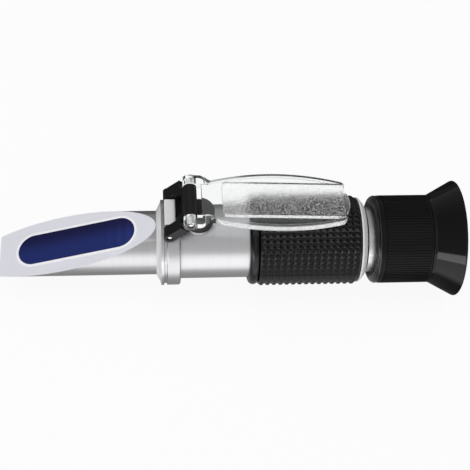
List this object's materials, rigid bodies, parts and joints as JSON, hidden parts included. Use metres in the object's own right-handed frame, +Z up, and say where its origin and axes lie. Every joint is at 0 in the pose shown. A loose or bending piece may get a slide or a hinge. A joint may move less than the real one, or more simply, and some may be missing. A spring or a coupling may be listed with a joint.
{
  "type": "antifreeze refractometer",
  "caption": "Hand-held antifreeze refractometer: slanted prism nose, clear lid on a link hinge, calibration screw under a cap, studded grip, ribbed focus ring and flared eyecup.",
  "frame": {"origin": "under the middle of the object's length, at the height of the lowest point of the eyecup's rim", "axes": "+X along the optical axis from the nose to the eyecup, +Z up, out of the side that carries the lid, the prism face and the cap"},
  "size_m": [0.16, 0.0408, 0.0476],
  "materials": {
    "satin_metal": "satin, fine turned and brushed",
    "bright_metal": "bright turned",
    "pin_steel": "ground",
    "screw_brass": "turned",
    "bimetal": "rolled strip",
    "black_metal": "black anodised, matte",
    "bracket_plastic": "moulded, satin black",
    "focus_plastic": "moulded, satin black",
    "grip_rubber": "moulded, black",
    "cap_rubber": "moulded, black",
    "eyecup_rubber": "moulded, matte black",
    "sealant": "cured sealant",
    "prism_glass": "polished",
    "clear_plastic": "clear moulded, with a frosted pad",
    "optical_glass": "polished, coated"
  },
  "bodies": {
    "housing": {"prism_housing": "satin_metal", "main_prism": "prism_glass", "prism_seal": "sealant", "hinge_collar": "satin_metal", "bracket_pin": "pin_steel", "main_tube": "satin_metal", "calibration_boss": "satin_metal", "rubber_grip": "grip_rubber", "tube_end_ring": "bright_metal", "eyepiece_barrel": "bright_metal", "focus_o_ring": "cap_rubber", "barrel_stop_ring": "black_metal", "bimetal_strip": "bimetal", "bimetal_rivet": "pin_steel", "field_stop": "black_metal", "reticle_holder": "black_metal", "reticle_plate": "optical_glass", "reticle_clamp_ring": "black_metal"},
    "hinge_link": {"hinge_bracket": "bracket_plastic", "lid_pin": "pin_steel"},
    "lid": {"daylight_plate": "clear_plastic"},
    "cap": {"calibration_cap": "cap_rubber"},
    "screw": {"calibration_screw": "screw_brass"},
    "objective": {"objective_cell": "black_metal", "objective_lens": "optical_glass", "objective_retaining_ring": "black_metal"},
    "eyepiece": {"eyepiece_cell": "black_metal", "field_lens": "optical_glass", "lens_spacer": "black_metal", "eye_lens": "optical_glass", "eyepiece_retaining_ring": "black_metal", "eyepiece_guide_pin": "pin_steel"},
    "focus": {"focus_ring": "focus_plastic", "eyecup": "eyecup_rubber"}
  },
  "joints": [
    {"name": "bracket_hinge", "type": "hinge", "parent": "housing", "child": "hinge_link", "pos_m": [-0.021, 0, 0.0377], "axis": [0, -1, 0], "range_deg": [0, 159.04]},
    {"name": "lid_hinge", "type": "hinge", "parent": "hinge_link", "child": "lid", "pos_m": [-0.01418, 0, 0.04501], "axis": [0, -1, 0], "range_deg": [0, 42.75]},
    {"name": "cap_pull", "type": "slide", "parent": "housing", "child": "cap", "axis": [0, 0, 1], "range_m": [0, 0.0014]},
    {"name": "calibration_turn", "type": "hinge", "parent": "housing", "child": "screw", "pos_m": [-0.0109, 0, 0.0375], "axis": [0, 0, 1], "range_deg": [-270, 270]},
    {"name": "objective_shift", "type": "slide", "parent": "housing", "child": "objective", "axis": [0, 0, 1], "range_m": [-0.0001999, 0.0001999]},
    {"name": "focus_travel", "type": "slide", "parent": "housing", "child": "eyepiece", "axis": [1, 0, 0], "range_m": [-0.00151, 0.00301]},
    {"name": "focus_turn", "type": "hinge", "parent": "eyepiece", "child": "focus", "pos_m": [0.06, 0, 0.0204], "axis": [1, 0, 0], "range_deg": [-90, 180]}
  ],
  "couplings": [
    {"joint": "calibration_turn", "follows": "objective_shift", "rad_per_m": 23562},
    {"joint": "focus_travel", "follows": "focus_turn", "m_per_rad": 0.00095493}
  ]
}
